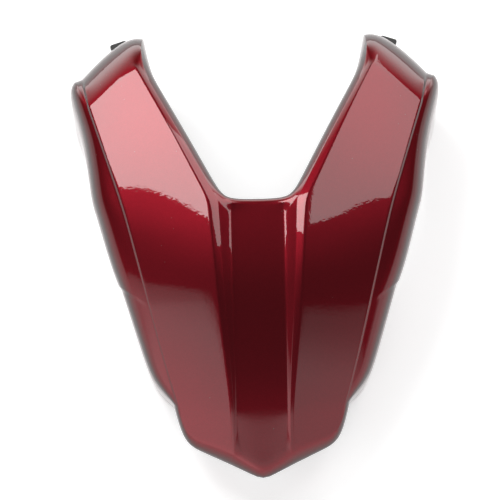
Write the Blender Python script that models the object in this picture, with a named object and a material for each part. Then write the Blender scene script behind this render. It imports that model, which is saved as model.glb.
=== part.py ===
"""Tail fairing of a motorcycle: one moulded shell with a forked front and a pointed tail.

All sizes are in millimetres and are turned into metres by MM. While the shell is modelled, x is the
distance from the mid-line, y runs forwards from the front edge of the channel floor, and z runs upwards
from the level of the lowest rim. The whole is then moved so that the middle of its base is the origin.
"""
import math

import bmesh
import bpy
from mathutils import Matrix, Vector
from mathutils.bvhtree import BVHTree

MM = 0.001
NAME = "tail_cowl"

# The moulding
WALL = 3.0
EDGE_RADIUS = 0.9
SMOOTH_LEVELS = 1
SHARP_ANGLE = 40.0

# How firmly the smoothing keeps a feature line, and how fully the rounding takes it
SHARP = 1.0
CRISP = 0.9
FIRM = 0.8
ROUNDED = 1.0
PART_ROUNDED = 0.8
UNROUNDED = 0.0

# Lines seen from above, each a list of (y, half width)
NOTCH_Y = -5.0
CREASE_PLAN = ((-163, 54.0), (-113, 69.5), (-49, 86.5), (0, 99.5), (60, 118.0), (94, 128.5))
RIDGE_BODY_PLAN = ((-180, 20.6), (-149, 22.0), (-117, 25.5), (-80, 29.5), (-40, 32.8), (NOTCH_Y, 35.4))
WALL_TOP_BODY_PLAN = ((-180, 19.4), (-148, 20.2), (-116, 22.0), (-82, 24.7), (-38, 27.6), (NOTCH_Y, 29.0))
RIDGE_FLARE = 0.446
WALL_TOP_FLARE = 0.472
FLOOR_HALF_WIDTH = 20.3
FLOOR_TAPER = 0.013
FLOOR_EDGE_GAP = 0.8

# Heights along the same lines, each a list of (y, z)
RIDGE_HEIGHT = ((-190, 38.0), (-150, 60.0), (-100, 81.0), (-50, 95.0), (0, 100.0), (60, 98.0), (130, 92.0))
CREASE_HEIGHT = ((-168, 36.0), (-145, 47.0), (-100, 64.0), (-50, 78.0), (0, 84.0), (50, 84.0), (105, 80.0))
FLOOR_HEIGHT = ((-190, 37.0), (-150, 58.5), (-100, 77.0), (-50, 89.0), (0, 92.0))
PANEL_CROWN = 2.4
CHAMFER_DROP = 3.0

# The sections across the shell: where each one crosses the crease, the ridge and the rim, along y.
# A section that ends in "end" is the last one on its bulge, and the next one starts the surface behind it.
# The one named "pod_front" closes the pod beside the outer corner of the nose.
TAIL_SECTION = (-163.0, -179.0)
TAIL_POINT = 3.0
BODY_SECTIONS = (
    ("tail_side", -146.0, -158.0, -133.0),
    ("skirt_end", -143.0, -155.0, -124.0),
    ("skirt", -132.0, -143.0, -113.0),
    ("skirt", -118.0, -128.0, -94.0),
    ("skirt", -98.0, -106.0, -62.0),
    ("skirt", -78.5, -84.0, -28.0),
    ("pod_end", -75.5, -81.0, -25.0),
    ("pod", -66.0, -70.5, -15.0),
    ("pod", -50.0, -53.5, -1.0),
    ("pod", -26.0, -28.0, 16.0),
    ("pod", -13.0, -13.5, 27.0),
    ("pod", NOTCH_Y, NOTCH_Y, 37.0),
)
HORN_SECTIONS = (
    ("pod", 5.0, 6.0, 44.0),
    ("pod", 21.0, 25.0, 58.0),
    ("pod", 43.0, 52.0, 80.0),
    ("pod", 65.0, 80.0, 105.0),
    ("pod", 85.0, 106.0, 128.0),
    ("pod_front", 91.2, 118.6, 134.5),
    ("nose", 94.0, 121.0, 141.0),
)

# The lower rim: half width and height along y
POD_RIM_PLAN = (
    (-26, 105.5), (-15, 109.8), (0, 114.9), (38, 126.6), (80, 134.4), (108, 143.4), (128, 149.8),
    (134.5, 144.4), (137, 140.0),
)
SKIRT_RIM_PLAN = ((-124, 69.1), (-113, 79.7), (-94, 85.7), (-62, 94.7), (-28, 103.6))
RIM_HEIGHT = ((-124, 3.0), (-94, 0.0), (-62, 1.0), (-24, 6.0), (38, 8.0), (105, 2.0), (130, 0.0), (141, 5.0))
TAIL_SIDE_RIM = (64.0, -133.0, 13.0)

# The small wall under the crease, and the rounding of the side below it as shares of its run and drop
STEP_RUN = 2.3
STEP_DROP = 4.5
SIDE_PROFILE = ((0.50, 0.08), (0.86, 0.26), (0.98, 0.58), (1.0, 1.0))

# How soon the side's lines swing forwards to the rim: the share at y = 0, the length over which it grows
# by one, and the least share
SWEEP_SHARE = 0.3
SWEEP_LENGTH = 110.0
SWEEP_LEAST = 0.35

# The roll along the notch between the horns: run and drop of each line, after a first line close to the edge
ROLL_FIRST_SHARE = 0.3
NOTCH_FRONT_ROLL = ((3.8, 0.9), (6.8, 3.6), (8.0, 8.5), (8.1, 20.5))
NOTCH_HORN_ROLL = ((3.2, 2.6), (6.0, 6.2), (7.6, 12.0), (7.8, 25.0))
NOTCH_CORNER_SHIFT = (-0.6, 1.15)

# The nose of each horn: where its face stands, from the inner tip to the crease, and its rim height
NOSE_FACE = (
    (87.7, 173.6, 47.0), (98.0, 174.2, 45.0), (110.0, 170.0, 38.0), (125.5, 156.6, 22.0), (138.6, 141.8, 5.0),
)
NOSE_ROLL_DEPTH = 44.0
NOSE_LEAST_LIP = 2.0

# The tail's upright face, which runs straight from the point on the mid-line to the corner under the
# crease. Its rim turns in under the face.
TAIL_TIP = (0.0, -196.4, 26.0)
TAIL_CORNER = (57.6, -167.3, 26.3)
TAIL_RIM_SHARE = 0.93
TAIL_LIP_RUN = 9.0
TAIL_RIM_HEIGHT = 15.0

# The roll from the top's edge to the face of the nose or the tail: shares of the run and of the drop
FACE_ROLL = ((0.38, 0.08), (0.72, 0.30), (0.93, 0.64))

# The locating tab in front of each nose: its place along the face, its rise above the face's rim, and how much
# of its length lies behind the face
TAB_PLACE = 108.0
TAB_RISE = 6.9
TAB_SINK = 6.0
TAB_WIDTH = 14.0
TAB_LENGTH = 13.0
TAB_THICKNESS = 3.0
TAB_TURN = -22.0
TAB_CORNER_RADIUS = 2.0

# The screw bosses under the shell: half spacing, y and length below the shell
BOSSES = ((100.0, 62.0, 32.0), (42.0, -112.0, 26.0))
BOSS_RADIUS = 6.0
BOSS_SIDES = 20
BOSS_BORE_RADIUS = 2.4
BOSS_BORE_DEPTH = 16.0
GUSSET_HEIGHT = 16.0
GUSSET_REACH = 8.0
GUSSET_TIP = 4.0
SQUARE_ON = 0.999
RAY_START = 1.0


def smooth(knots, at):
    """Value of a smooth curve through the knots, carried on straight past the first and the last."""
    last = len(knots) - 1
    slopes = []
    for i in range(last + 1):
        a = knots[max(i - 1, 0)]
        b = knots[min(i + 1, last)]
        slopes.append((b[1] - a[1]) / (b[0] - a[0]))
    if at <= knots[0][0]:
        return knots[0][1] + slopes[0] * (at - knots[0][0])
    if at >= knots[last][0]:
        return knots[last][1] + slopes[last] * (at - knots[last][0])
    i = max(k for k in range(last) if knots[k][0] <= at)
    span = knots[i + 1][0] - knots[i][0]
    t = (at - knots[i][0]) / span
    start, end = knots[i][1], knots[i + 1][1]
    bend = t * t * (3 - 2 * t)
    pull = slopes[i] * span * t * (1 - t) ** 2 - slopes[i + 1] * span * t * t * (1 - t)
    return start + (end - start) * bend + pull


def ridge_half_width(y):
    """Half width of the panel's inner edge."""
    if y > NOTCH_Y:
        return RIDGE_BODY_PLAN[-1][1] + RIDGE_FLARE * (y - NOTCH_Y)
    return smooth(RIDGE_BODY_PLAN, y)


def wall_top_half_width(y):
    """Half width of the outer edge of the channel wall, and of the edge above the notch."""
    if y > NOTCH_Y:
        return WALL_TOP_BODY_PLAN[-1][1] + WALL_TOP_FLARE * (y - NOTCH_Y)
    return smooth(WALL_TOP_BODY_PLAN, y)


def chamfer_drop(y):
    """Drop of the strip beside the ridge, which fades out with the channel towards the tail."""
    depth = smooth(RIDGE_HEIGHT, min(y, 0)) - smooth(FLOOR_HEIGHT, min(y, 0))
    full = smooth(RIDGE_HEIGHT, 0) - smooth(FLOOR_HEIGHT, 0)
    return CHAMFER_DROP * depth / full


def section_points(crease_y, ridge_y, with_floor):
    """Points of one section from the crease inwards to the wall top, and on to the mid-line on the body."""
    crease = Vector((smooth(CREASE_PLAN, crease_y), crease_y, smooth(CREASE_HEIGHT, crease_y)))
    ridge = Vector((ridge_half_width(ridge_y), ridge_y, smooth(RIDGE_HEIGHT, ridge_y)))
    slope = (ridge_y - crease_y) / (crease.x - ridge.x)
    points = [crease]
    for share in (1 / 3, 2 / 3):
        point = crease.lerp(ridge, share)
        point.z += PANEL_CROWN * math.sin(math.pi * share)
        points.append(point)
    points.append(ridge)
    top_x = wall_top_half_width(ridge_y)
    points.append(Vector((top_x, ridge_y + slope * (ridge.x - top_x), ridge.z - chamfer_drop(ridge_y))))
    if with_floor:
        edge_x = min(FLOOR_HALF_WIDTH + FLOOR_TAPER * ridge_y, top_x - FLOOR_EDGE_GAP)
        for x in (edge_x, 0.0):
            y = ridge_y + slope * (ridge.x - x)
            points.append(Vector((x, y, smooth(FLOOR_HEIGHT, y))))
    return points


def extrude_row(bm, row):
    """Extrudes the edges of a row of vertices and returns the new row in the same order."""
    edges = [bm.edges.get((a, b)) for a, b in zip(row, row[1:])]
    made = bmesh.ops.extrude_edge_only(bm, edges=edges)["geom"]
    new = {v for v in made if isinstance(v, bmesh.types.BMVert)}
    return [next(e.other_vert(v) for e in v.link_edges if e.other_vert(v) in new) for v in row]


def place_row(row, points):
    """Moves the vertices of a row to the given points, in millimetres."""
    for vertex, point in zip(row, points):
        vertex.co = Vector(point) * MM


def loft_top(bm):
    """Lofts the top from the tail forwards and out along the horn. Returns the rows of vertices."""
    points = section_points(*TAIL_SECTION, True)
    points[-1].y -= TAIL_POINT
    row = [bm.verts.new(point * MM) for point in points]
    for a, b in zip(row, row[1:]):
        bm.edges.new((a, b))
    rows = [row]
    for _, crease_y, ridge_y, _ in BODY_SECTIONS:
        row = extrude_row(bm, row)
        place_row(row, section_points(crease_y, ridge_y, True))
        rows.append(row)
    row = row[:5]
    for _, crease_y, ridge_y, _ in HORN_SECTIONS:
        row = extrude_row(bm, row)
        place_row(row, section_points(crease_y, ridge_y, False))
        rows.append(row)
    return rows


def plan_normal(before, here, after):
    """Direction in plan away from the shell at a point of its edge, between its two neighbours."""
    normal = Vector((0.0, 0.0, 0.0))
    for a, b in ((before, here), (here, after)):
        normal += Vector((b.y - a.y, a.x - b.x, 0.0)).normalized()
    return normal.normalized()


def side_column(crease, rim):
    """Lines of the side below a point of the crease: the foot of the small step, the rounding and the rim."""
    outward = Vector((rim.x - crease.x, 0.0, 0.0)).normalized()
    foot = crease + outward * STEP_RUN - Vector((0, 0, STEP_DROP))
    column = [foot]
    early = min(max(SWEEP_SHARE + crease.y / SWEEP_LENGTH, SWEEP_LEAST), 1.0)
    for run, drop in SIDE_PROFILE:
        point = foot.lerp(rim, run)
        point.y = foot.y + (rim.y - foot.y) * (early * run + (1 - early) * drop)
        point.z = foot.z + (rim.z - foot.z) * drop
        column.append(point)
    return column


def rolled_column(edge, outward, roll):
    """Lines of a rolled edge: each is a run outwards and a drop from the edge."""
    column = [edge + outward * run - Vector((0, 0, drop)) for run, drop in roll]
    first = edge.lerp(column[0], ROLL_FIRST_SHARE)
    return [first] + column


def face_roll(edge, stand):
    """Lines of the roll from a point of the top's edge to the top of an upright face."""
    column = []
    for run, drop in FACE_ROLL:
        point = edge.lerp(stand, run)
        point.z = edge.z + (stand.z - edge.z) * drop
        column.append(point)
    return column + [stand]


def nose_column(edge, face):
    """Lines of the nose below one point of the panel's far edge, down to its face and rim."""
    stand = Vector((face[0], face[1], max(edge.z - NOSE_ROLL_DEPTH, face[2] + NOSE_LEAST_LIP)))
    return face_roll(edge, stand) + [Vector(face)]


def tail_column(edge, share):
    """Lines of the tail below one point of its edge, by its share of the way from the mid-line out."""
    stand = Vector(TAIL_TIP).lerp(Vector(TAIL_CORNER), share)
    rim = Vector((stand.x * TAIL_RIM_SHARE, stand.y + TAIL_LIP_RUN, TAIL_RIM_HEIGHT))
    return face_roll(edge, stand) + [rim]


def rim_point(kind, rim_y):
    """Point of the lower rim on the side."""
    if kind == "tail_side":
        return Vector(TAIL_SIDE_RIM)
    plan = SKIRT_RIM_PLAN if kind.startswith("skirt") else POD_RIM_PLAN
    return Vector((smooth(plan, rim_y), rim_y, smooth(RIM_HEIGHT, rim_y)))


def skirt_columns(rows):
    """The chain of edge vertices round the top, with the column of points below each of them."""
    body = len(BODY_SECTIONS)
    corner_x = rows[0][0].co.x
    chain = [(v, tail_column(v.co / MM, v.co.x / corner_x)) for v in reversed(rows[0])]
    for row, (kind, _, _, rim_y) in zip(rows[1:], BODY_SECTIONS + HORN_SECTIONS[:-1]):
        chain.append((row[0], side_column(row[0].co / MM, rim_point(kind, rim_y))))
    nose = rows[-1]
    for vertex, face in zip(nose, reversed(NOSE_FACE)):
        chain.append((vertex, nose_column(vertex.co / MM, face)))
    horn = [row[4] for row in rows[body:-1]]
    horn.reverse()
    for i, vertex in enumerate(horn[:-1]):
        here = vertex.co / MM
        before = (horn[i - 1].co if i else nose[4].co) / MM
        outward = plan_normal(before, here, horn[i + 1].co / MM)
        chain.append((vertex, rolled_column(here, outward, NOTCH_HORN_ROLL)))
    corner = horn[-1].co / MM
    shift = Vector((NOTCH_CORNER_SHIFT[0], NOTCH_CORNER_SHIFT[1], 0))
    chain.append((horn[-1], rolled_column(corner, shift, NOTCH_FRONT_ROLL)))
    for vertex in rows[body][5:]:
        chain.append((vertex, rolled_column(vertex.co / MM, Vector((0, 1, 0)), NOTCH_FRONT_ROLL)))
    return chain


def extrude_skirt(bm, chain):
    """Extrudes the edge of the top downwards line by line. Returns the lines of vertices."""
    row = [vertex for vertex, _ in chain]
    lines = [row]
    for level in range(len(chain[0][1])):
        row = extrude_row(bm, row)
        place_row(row, [column[level] for _, column in chain])
        lines.append(row)
    return lines


def mark(bm, layers, vertices, crease, bevel):
    """Gives the edges along a line of vertices a crease for the smoothing and a weight for the rounding."""
    for a, b in zip(vertices, vertices[1:]):
        edge = bm.edges.get((a, b))
        edge[layers[0]] = crease
        edge[layers[1]] = bevel


def build_half():
    """The right-hand half of the outer skin as a coarse mesh, with its feature lines marked."""
    bm = bmesh.new()
    layers = (bm.edges.layers.float.new("crease_edge"), bm.edges.layers.float.new("bevel_weight_edge"))
    rows = loft_top(bm)
    chain = skirt_columns(rows)
    lines = extrude_skirt(bm, chain)
    body = len(BODY_SECTIONS)
    mark(bm, layers, [row[0] for row in rows], SHARP, ROUNDED)
    mark(bm, layers, [row[3] for row in rows], CRISP, ROUNDED)
    mark(bm, layers, [row[4] for row in rows], CRISP, ROUNDED)
    mark(bm, layers, [row[5] for row in rows[:body + 1]], FIRM, UNROUNDED)
    first_side = len(rows[0])
    last_side = first_side + len(rows) - 2
    mark(bm, layers, lines[1][first_side - 1:last_side + 1], CRISP, UNROUNDED)
    mark(bm, layers, [line[0] for line in lines], SHARP, UNROUNDED)
    nose_corner = [line[last_side] for line in lines]
    mark(bm, layers, nose_corner, CRISP, PART_ROUNDED)
    pod_front = [line[last_side - 1] for line in lines]
    mark(bm, layers, pod_front, CRISP, PART_ROUNDED)
    tip_corner = [line[last_side + 4] for line in lines]
    mark(bm, layers, tip_corner, FIRM, PART_ROUNDED)
    for offset, (kind, _, _, _) in enumerate(BODY_SECTIONS):
        if kind.endswith("_end"):
            column = [line[first_side + offset] for line in lines]
            mark(bm, layers, column, CRISP, ROUNDED)
            behind = [line[first_side + offset - 1] for line in lines]
            mark(bm, layers, behind, FIRM, UNROUNDED)
    bmesh.ops.recalc_face_normals(bm, faces=bm.faces)
    top = max(bm.faces, key=lambda face: face.calc_center_median().z)
    if top.normal.z < 0:
        bmesh.ops.reverse_faces(bm, faces=bm.faces)
    return bm


def make_object(name, bm, material):
    """Turns a bmesh into an object of the scene."""
    mesh = bpy.data.meshes.new(name)
    bm.to_mesh(mesh)
    bm.free()
    mesh.shade_smooth()
    mesh.set_sharp_from_angle(angle=math.radians(SHARP_ANGLE))
    obj = bpy.data.objects.new(name, mesh)
    bpy.context.collection.objects.link(obj)
    if material is not None:
        mesh.materials.append(material)
    return obj


def paint():
    """Dark red metallic paint under a gloss clear coat."""
    material = bpy.data.materials.new("candy_red_paint")
    material.use_nodes = True
    shader = material.node_tree.nodes["Principled BSDF"]
    shader.inputs["Base Color"].default_value = (0.24, 0.012, 0.022, 1.0)
    shader.inputs["Metallic"].default_value = 0.6
    shader.inputs["Roughness"].default_value = 0.3
    return material


def shell(material):
    """The moulded shell: half a skin, mirrored, smoothed, thickened and rounded along its feature lines."""
    obj = make_object(NAME, build_half(), material)
    mirror = obj.modifiers.new("mirror", "MIRROR")
    mirror.merge_threshold = 0.0001
    mirror.use_clip = True
    smoothing = obj.modifiers.new("smoothing", "SUBSURF")
    smoothing.levels = SMOOTH_LEVELS
    smoothing.render_levels = SMOOTH_LEVELS
    wall = obj.modifiers.new("wall", "SOLIDIFY")
    wall.thickness = WALL * MM
    wall.offset = -1.0
    wall.use_even_offset = True
    rounding = obj.modifiers.new("rounding", "BEVEL")
    rounding.limit_method = "WEIGHT"
    rounding.width = EDGE_RADIUS * MM
    rounding.segments = 1
    rounding.use_clamp_overlap = True
    return obj


def middle_of_wall(skin, x, y):
    """Height of the middle of the shell's wall above a point."""
    place, normal, _, _ = skin.ray_cast(Vector((x, y, RAY_START)), Vector((0, 0, -1)))
    return place.z - 0.5 * WALL * MM / normal.z


def boss_piece(skin, x, y, length):
    """One screw boss with four tapered gussets, flat at its lower end and sunk into the shell's wall."""
    bm = bmesh.new()
    top = middle_of_wall(skin, x, y)
    place = Matrix.Translation((x, y, top - 0.5 * length)) @ Matrix.Rotation(math.pi / BOSS_SIDES, 4, "Z")
    radius = BOSS_RADIUS * MM
    bmesh.ops.create_cone(
        bm, cap_ends=True, segments=BOSS_SIDES, radius1=radius, radius2=radius, depth=length, matrix=place,
    )
    foot = top - GUSSET_HEIGHT * MM
    middle = 0.5 * (top + foot)
    geometry = bm.verts[:] + bm.edges[:] + bm.faces[:]
    bmesh.ops.bisect_plane(bm, geom=geometry, plane_co=(x, y, foot), plane_no=(0, 0, 1))
    bm.normal_update()
    sides = [face for face in bm.faces
             if face.calc_center_median().z > foot
             and max(abs(face.normal.x), abs(face.normal.y)) > SQUARE_ON]
    for face in bmesh.ops.extrude_discrete_faces(bm, faces=sides)["faces"]:
        bmesh.ops.translate(bm, verts=face.verts, vec=face.normal * GUSSET_REACH * MM)
        for vertex in face.verts:
            if vertex.co.z < middle:
                vertex.co.z = top - GUSSET_TIP * MM
    for vertex in bm.verts:
        if vertex.co.z > middle:
            vertex.co.z += middle_of_wall(skin, vertex.co.x, vertex.co.y) - top
    return bm


def tab_piece(side):
    """One locating tab, a flat tongue with rounded corners whose back end is sunk into the nose's wall."""
    bm = bmesh.new()
    face_y = smooth([(x, y) for x, y, _ in NOSE_FACE], TAB_PLACE)
    rim_z = smooth([(x, z) for x, _, z in NOSE_FACE], TAB_PLACE)
    reach = 0.5 * TAB_LENGTH - TAB_SINK
    centre = Vector((TAB_PLACE * side, face_y + reach, rim_z + TAB_RISE)) * MM
    place = Matrix.Translation(centre) @ Matrix.Rotation(math.radians(TAB_TURN * side), 4, "Z")
    size = Matrix.Diagonal((TAB_WIDTH * MM, TAB_LENGTH * MM, TAB_THICKNESS * MM, 1.0))
    bmesh.ops.create_cube(bm, size=1.0, matrix=place @ size)
    forward = place.to_3x3() @ Vector((0, 1, 0))
    corners = [edge for edge in bm.edges
               if abs((edge.verts[0].co - edge.verts[1].co).z) > 0.5 * TAB_THICKNESS * MM
               and (edge.verts[0].co - centre).dot(forward) > 0]
    bmesh.ops.bevel(
        bm, geom=corners, offset=TAB_CORNER_RADIUS * MM, segments=3, profile=0.5, affect="EDGES", material=-1,
    )
    return bm


def bore_piece(skin, x, y, length):
    """The cutter for one blind screw bore, which opens in the boss's lower end."""
    bm = bmesh.new()
    low = middle_of_wall(skin, x, y) - length
    depth = 2 * BOSS_BORE_DEPTH * MM
    radius = BOSS_BORE_RADIUS * MM
    place = Matrix.Translation((x, y, low))
    bmesh.ops.create_cone(
        bm, cap_ends=True, segments=BOSS_SIDES // 2, radius1=radius, radius2=radius, depth=depth,
        matrix=place,
    )
    return bm


def guide(name, pieces):
    """One guide object that holds several closed pieces, left out of the finished part."""
    bm = bmesh.new()
    for piece in pieces:
        mesh = bpy.data.meshes.new(name)
        piece.to_mesh(mesh)
        piece.free()
        bm.from_mesh(mesh)
        bpy.data.meshes.remove(mesh)
    obj = make_object(name, bm, None)
    obj.hide_render = True
    obj.display_type = "WIRE"
    return obj


def add_boolean(obj, name, operation, operand):
    """Joins an operand to the shell or cuts it out."""
    boolean = obj.modifiers.new(name, "BOOLEAN")
    boolean.operation = operation
    boolean.solver = "EXACT"
    boolean.object = operand


def add_fixings(obj):
    """The screw bosses and locating tabs, joined to the shell, and the bores in the bosses."""
    skin = BVHTree.FromObject(obj, bpy.context.evaluated_depsgraph_get())
    places = [(side * x * MM, y * MM, length * MM) for x, y, length in BOSSES for side in (-1, 1)]
    solids = [boss_piece(skin, *place) for place in places] + [tab_piece(side) for side in (-1, 1)]
    add_boolean(obj, "fixings", "UNION", guide("fixings_guide", solids))
    bores = [bore_piece(skin, *place) for place in places]
    add_boolean(obj, "bores", "DIFFERENCE", guide("bores_guide", bores))


def stand_on_origin(objects):
    """Moves the part so that the middle of its base is the origin."""
    depsgraph = bpy.context.evaluated_depsgraph_get()
    corners = [Vector(corner) for corner in objects[0].evaluated_get(depsgraph).bound_box]
    low_z = min(corner.z for corner in corners)
    middle_y = 0.5 * (min(corner.y for corner in corners) + max(corner.y for corner in corners))
    for obj in objects:
        obj.location = (0.0, -middle_y, -low_z)


def main():
    for obj in list(bpy.data.objects):
        bpy.data.objects.remove(obj, do_unlink=True)
    cowl = shell(paint())
    add_fixings(cowl)
    stand_on_origin([cowl] + [obj for obj in bpy.data.objects if obj is not cowl])


main()
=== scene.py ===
# %% [markdown]
# This lesson dresses the tail fairing of a motorcycle. The real one is a single moulding of about 3 mm
# plastic, forked at the front to go round the seat and pointed at the tail. It is painted outside in a dark
# candy red under a clear lacquer, and the inside stays raw black plastic with some paint mist along the rim.
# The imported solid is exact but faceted, and a gloss finish shows every facet. So the same cage of points is
# built again here and smoothed further, and the fine shell stands for the solid in the pictures.

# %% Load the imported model
import math

import bmesh
import bpy
from mathutils import Matrix, Vector
from mathutils.bvhtree import BVHTree


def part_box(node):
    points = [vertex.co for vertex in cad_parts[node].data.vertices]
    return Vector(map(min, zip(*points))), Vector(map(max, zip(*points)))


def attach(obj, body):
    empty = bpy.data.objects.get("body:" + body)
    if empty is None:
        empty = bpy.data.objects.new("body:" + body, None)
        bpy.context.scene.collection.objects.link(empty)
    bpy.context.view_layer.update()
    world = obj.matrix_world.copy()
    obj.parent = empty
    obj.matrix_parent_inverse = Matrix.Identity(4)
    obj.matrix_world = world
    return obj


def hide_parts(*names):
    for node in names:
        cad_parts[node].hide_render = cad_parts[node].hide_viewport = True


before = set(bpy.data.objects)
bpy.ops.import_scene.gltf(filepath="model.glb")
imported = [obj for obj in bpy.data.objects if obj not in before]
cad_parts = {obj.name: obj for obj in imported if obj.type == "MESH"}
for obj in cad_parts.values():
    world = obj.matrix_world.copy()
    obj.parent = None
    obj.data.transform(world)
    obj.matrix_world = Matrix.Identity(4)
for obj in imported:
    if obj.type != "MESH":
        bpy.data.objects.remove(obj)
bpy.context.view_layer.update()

MM = 0.001
NODE = "tail_cowl"

# %% [markdown]
# A stylist draws such a panel as a few long lines and lets the surface follow them. Four lines run from the
# tail to the front on each side: the crease at the outer edge of the raised panel, the ridge at its inner
# edge, the top of the channel's wall just inside the ridge, and the edge of the channel's floor. Each is a
# short list of knots, seen from above and in height, with a smooth curve through them. Sizes are in
# millimetres: x is the distance from the mid-line, y runs forwards from the front of the floor, z runs up.

# %% The long lines of the panel
NOTCH_Y = -5.0
CREASE_PLAN = ((-163, 54.0), (-113, 69.5), (-49, 86.5), (0, 99.5), (60, 118.0), (94, 128.5))
RIDGE_PLAN = ((-180, 20.6), (-149, 22.0), (-117, 25.5), (-80, 29.5), (-40, 32.8), (NOTCH_Y, 35.4))
WALL_TOP_PLAN = ((-180, 19.4), (-148, 20.2), (-116, 22.0), (-82, 24.7), (-38, 27.6), (NOTCH_Y, 29.0))
RIDGE_FLARE = 0.446
WALL_TOP_FLARE = 0.472
FLOOR_HALF_WIDTH = 20.3
FLOOR_TAPER = 0.013
FLOOR_EDGE_GAP = 0.8
RIDGE_HEIGHT = ((-190, 38.0), (-150, 60.0), (-100, 81.0), (-50, 95.2), (NOTCH_Y, 99.8))
HORN_RIDGE_HEIGHT = ((NOTCH_Y, 99.8), (60, 98.6), (130, 92.0))
CREASE_HEIGHT = ((-168, 36.0), (-145, 47.0), (-100, 64.0), (-50, 78.0), (0, 84.0), (50, 84.0), (105, 80.0))
FLOOR_HEIGHT = ((-190, 37.0), (-150, 58.5), (-100, 77.0), (-50, 89.0), (0, 92.0))
PANEL_CROWN = 0.8
CHAMFER_DROP = 2.2


def smooth(knots, at):
    """Value of a smooth curve through the knots, carried on straight past the first and the last."""
    last = len(knots) - 1
    slopes = []
    for i in range(last + 1):
        a = knots[max(i - 1, 0)]
        b = knots[min(i + 1, last)]
        slopes.append((b[1] - a[1]) / (b[0] - a[0]))
    if at <= knots[0][0]:
        return knots[0][1] + slopes[0] * (at - knots[0][0])
    if at >= knots[last][0]:
        return knots[last][1] + slopes[last] * (at - knots[last][0])
    i = max(k for k in range(last) if knots[k][0] <= at)
    span = knots[i + 1][0] - knots[i][0]
    t = (at - knots[i][0]) / span
    start, end = knots[i][1], knots[i + 1][1]
    bend = t * t * (3 - 2 * t)
    pull = slopes[i] * span * t * (1 - t) ** 2 - slopes[i + 1] * span * t * t * (1 - t)
    return start + (end - start) * bend + pull


def ridge_half_width(y):
    """Half width of the panel's inner edge: a curve along the channel, a straight flare along the notch."""
    if y > NOTCH_Y:
        return RIDGE_PLAN[-1][1] + RIDGE_FLARE * (y - NOTCH_Y)
    return smooth(RIDGE_PLAN, y)


def wall_top_half_width(y):
    """Half width of the top of the channel's wall, and of the edge above the notch."""
    if y > NOTCH_Y:
        return WALL_TOP_PLAN[-1][1] + WALL_TOP_FLARE * (y - NOTCH_Y)
    return smooth(WALL_TOP_PLAN, y)


def ridge_height(y):
    """Height of the panel's inner edge. It rises to the start of the flare and falls gently from there."""
    return smooth(HORN_RIDGE_HEIGHT if y > NOTCH_Y else RIDGE_HEIGHT, y)


def chamfer_drop(y):
    """Drop of the strip beside the ridge, which fades out with the channel towards the tail."""
    depth = smooth(RIDGE_HEIGHT, min(y, 0)) - smooth(FLOOR_HEIGHT, min(y, 0))
    full = smooth(RIDGE_HEIGHT, 0) - smooth(FLOOR_HEIGHT, 0)
    return CHAMFER_DROP * depth / full


print("half width at the ridge, front of the channel:", ridge_half_width(NOTCH_Y), "mm")

# %% [markdown]
# The top is lofted from the tail forwards. One section is a row of points from the crease inwards: two on
# the crowned panel, the ridge, the wall top, the floor's edge and the mid-line. Extruding the row's edges
# and moving the new points to the next section keeps every face a clean four-sided one, which the smoothing
# needs. Past the notch only the horn goes on, so the row loses its floor. The sections fan out towards the
# nose, as the panel does.

# %% Loft the top
TAIL_SECTION = (-163.0, -179.0)
TAIL_POINT = 3.0
BODY_SECTIONS = (
    ("tail_side", -146.0, -158.0, -133.0),
    ("skirt_end", -143.0, -155.0, -124.0),
    ("skirt", -132.0, -143.0, -113.0),
    ("skirt", -118.0, -128.0, -94.0),
    ("skirt", -98.0, -106.0, -62.0),
    ("skirt", -78.5, -84.0, -28.0),
    ("pod_end", -75.5, -81.0, -25.0),
    ("pod", -66.0, -70.5, -15.0),
    ("pod", -50.0, -53.5, -1.0),
    ("pod", -26.0, -28.0, 16.0),
    ("pod", -13.0, -13.5, 27.0),
    ("pod", NOTCH_Y, NOTCH_Y, 37.0),
)
HORN_SECTIONS = (
    ("pod", 5.0, 6.0, 44.0),
    ("pod", 21.0, 25.0, 58.0),
    ("pod", 43.0, 52.0, 80.0),
    ("pod", 65.0, 80.0, 105.0),
    ("pod", 85.0, 106.0, 128.0),
    ("pod_front", 91.2, 118.6, 134.5),
    ("nose", 94.0, 121.0, 141.0),
)
CREASE, RIDGE, WALL_TOP, FLOOR_EDGE = 0, 3, 4, 5
HORN_POINTS = WALL_TOP + 1


def section_points(crease_y, ridge_y, with_floor):
    """Points of one section from the crease inwards to the wall top, and on to the mid-line on the body."""
    crease = Vector((smooth(CREASE_PLAN, crease_y), crease_y, smooth(CREASE_HEIGHT, crease_y)))
    ridge = Vector((ridge_half_width(ridge_y), ridge_y, ridge_height(ridge_y)))
    slope = (ridge_y - crease_y) / (crease.x - ridge.x)
    points = [crease]
    for share in (1 / 3, 2 / 3):
        point = crease.lerp(ridge, share)
        point.z += PANEL_CROWN * math.sin(math.pi * share)
        points.append(point)
    points.append(ridge)
    top_x = wall_top_half_width(ridge_y)
    points.append(Vector((top_x, ridge_y + slope * (ridge.x - top_x), ridge.z - chamfer_drop(ridge_y))))
    if with_floor:
        edge_x = min(FLOOR_HALF_WIDTH + FLOOR_TAPER * ridge_y, top_x - FLOOR_EDGE_GAP)
        for x in (edge_x, 0.0):
            y = ridge_y + slope * (ridge.x - x)
            points.append(Vector((x, y, smooth(FLOOR_HEIGHT, y))))
    return points


def extrude_row(bm, row):
    """Extrudes the edges of a row of vertices and returns the new row in the same order."""
    edges = [bm.edges.get((a, b)) for a, b in zip(row, row[1:])]
    made = bmesh.ops.extrude_edge_only(bm, edges=edges)["geom"]
    new = {v for v in made if isinstance(v, bmesh.types.BMVert)}
    return [next(e.other_vert(v) for e in v.link_edges if e.other_vert(v) in new) for v in row]


def place_row(row, points):
    """Moves the vertices of a row to the given points, in millimetres."""
    for vertex, point in zip(row, points):
        vertex.co = Vector(point) * MM


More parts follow.
